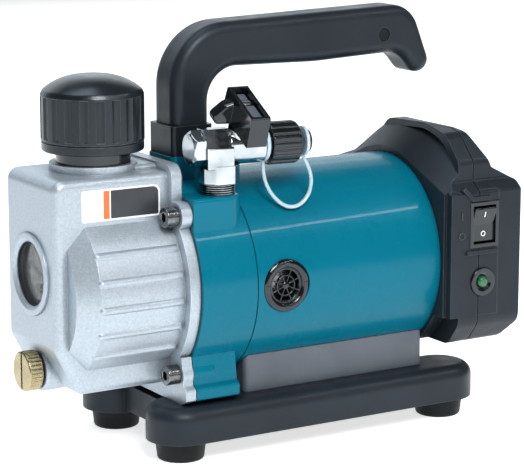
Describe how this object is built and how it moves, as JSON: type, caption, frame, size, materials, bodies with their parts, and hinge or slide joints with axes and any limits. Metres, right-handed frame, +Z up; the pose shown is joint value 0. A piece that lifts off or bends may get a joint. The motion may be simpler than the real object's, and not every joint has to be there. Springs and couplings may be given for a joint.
{
  "type": "hvac vacuum pump",
  "caption": "Portable rotary vane vacuum pump: ribbed oil casing with sight glass, tube motor, ball valve inlet, carrying handle and rear battery bay.",
  "frame": {"origin": "on the ground plane under the feet, in the middle of the whole machine", "axes": "+X along the motor axis from the oil casing to the battery bay, +Z up, the inlet valve and switch are on the -Y side"},
  "size_m": [0.2614, 0.121, 0.2165],
  "materials": {
    "black_plastic": "fine moulded grain, satin",
    "glossy_black": "smooth moulded, glossy",
    "black_rubber": "matte",
    "grey_plastic": "satin",
    "teal_paint": "gloss enamel",
    "cast_aluminium": "satin, sand cast",
    "gasket_paper": "matte",
    "dark_steel": "black oxide",
    "steel": "ground",
    "bearing_steel": "polished",
    "nickel": "nickel plate over forged brass",
    "cast_iron": "machined",
    "ferrite": "sintered",
    "brass": "turned and knurled",
    "copper": "enamelled wire and turned copper",
    "carbon": "sintered carbon",
    "white_polymer": "matte",
    "window_glass": "clear",
    "green_lens": "clear tinted",
    "circuit_board": "solder mask",
    "pale_strap": "translucent"
  },
  "bodies": {
    "machine": {"base_frame": "black_plastic", "base_screws": "dark_steel", "battery_terminals": "nickel", "cap_tether": "pale_strap", "carbon_brushes": "carbon", "casing_bolts": "dark_steel", "casing_gasket": "gasket_paper", "control_board": "circuit_board", "demister_filter": "white_polymer", "exhaust_reed": "steel", "filler_neck": "glossy_black", "handle_bolts": "dark_steel", "handle_collar": "black_plastic", "handle_grip": "black_plastic", "handle_plug": "black_rubber", "housing_screws": "dark_steel", "lamp_bezel": "glossy_black", "lamp_lens": "green_lens", "motor_bearings": "bearing_steel", "motor_cover": "teal_paint", "motor_cradle": "grey_plastic", "motor_end_bell": "cast_aluminium", "motor_magnets": "ferrite", "motor_yoke": "steel", "oil_casing": "cast_aluminium", "power_switch": "glossy_black", "pump_bolts": "dark_steel", "pump_bracket": "teal_paint", "pump_cylinder": "cast_iron", "pump_end_plates": "cast_iron", "rear_housing_back": "black_plastic", "rear_housing_front": "black_plastic", "rubber_feet": "black_rubber", "shaft_seal": "black_rubber", "sight_glass": "window_glass", "sight_glass_ring": "cast_aluminium", "terminal_block": "black_plastic", "tether_rings": "pale_strap", "valve_body": "nickel", "valve_plug": "nickel", "valve_seats": "white_polymer", "vent_grilles": "black_plastic"},
    "shaft_line": {"motor_shaft": "steel", "armature_core": "steel", "armature_windings": "copper", "commutator": "copper", "cooling_fan": "black_plastic", "pump_rotor": "steel", "rotor_vanes": "carbon"},
    "lever": {"valve_lever": "glossy_black", "lever_screw": "steel", "valve_spindle": "steel", "valve_ball": "nickel"},
    "rocker": {"power_rocker": "glossy_black"},
    "cap_thread": {"cap_seal": "black_rubber"},
    "cap": {"exhaust_cap": "black_plastic"},
    "drain_thread": {"drain_seal": "black_rubber"},
    "drain": {"drain_plug": "brass"},
    "dust_cap_thread": {"cap_liner": "black_rubber"},
    "port_cap": {"dust_cap": "glossy_black"}
  },
  "joints": [
    {"name": "shaft_spin", "type": "hinge", "parent": "machine", "child": "shaft_line", "pos_m": [0, 0, 0.0851], "axis": [1, 0, 0], "continuous": true},
    {"name": "lever_turn", "type": "hinge", "parent": "machine", "child": "lever", "pos_m": [-0.02666, -0.03312, 0.1546], "axis": [0.0442, 0.4203, -0.9063], "range_deg": [0, 90]},
    {"name": "rocker_press", "type": "hinge", "parent": "machine", "child": "rocker", "pos_m": [0.1072, -0.0568, 0.1056], "axis": [-1, 0, 0], "range_deg": [0, 16]},
    {"name": "exhaust_cap_lift", "type": "slide", "parent": "machine", "child": "cap_thread", "axis": [0, 0, 1], "range_m": [0, 0.0106]},
    {"name": "exhaust_cap_turn", "type": "hinge", "parent": "cap_thread", "child": "cap", "pos_m": [-0.0895, 0, 0.17], "axis": [0, 0, 1], "range_deg": [0, 720]},
    {"name": "drain_plug_travel", "type": "slide", "parent": "machine", "child": "drain_thread", "axis": [-1, 0, 0], "range_m": [0, 0.0105]},
    {"name": "drain_plug_turn", "type": "hinge", "parent": "drain_thread", "child": "drain", "pos_m": [-0.12, 0, 0.046], "axis": [-1, 0, 0], "range_deg": [0, 2522]},
    {"name": "dust_cap_travel", "type": "slide", "parent": "machine", "child": "dust_cap_thread", "axis": [0.9945, -0.1045, 0], "range_m": [0, 0.0013]},
    {"name": "dust_cap_turn", "type": "hinge", "parent": "dust_cap_thread", "child": "port_cap", "pos_m": [-0.00249, -0.03566, 0.1546], "axis": [0.9945, -0.1045, 0], "range_deg": [0, 360]}
  ],
  "couplings": [
    {"joint": "exhaust_cap_lift", "follows": "exhaust_cap_turn", "m_per_rad": 0.00083556},
    {"joint": "drain_plug_turn", "follows": "drain_plug_travel", "rad_per_m": 4188.8},
    {"joint": "dust_cap_travel", "follows": "dust_cap_turn", "m_per_rad": 0.00020213}
  ]
}
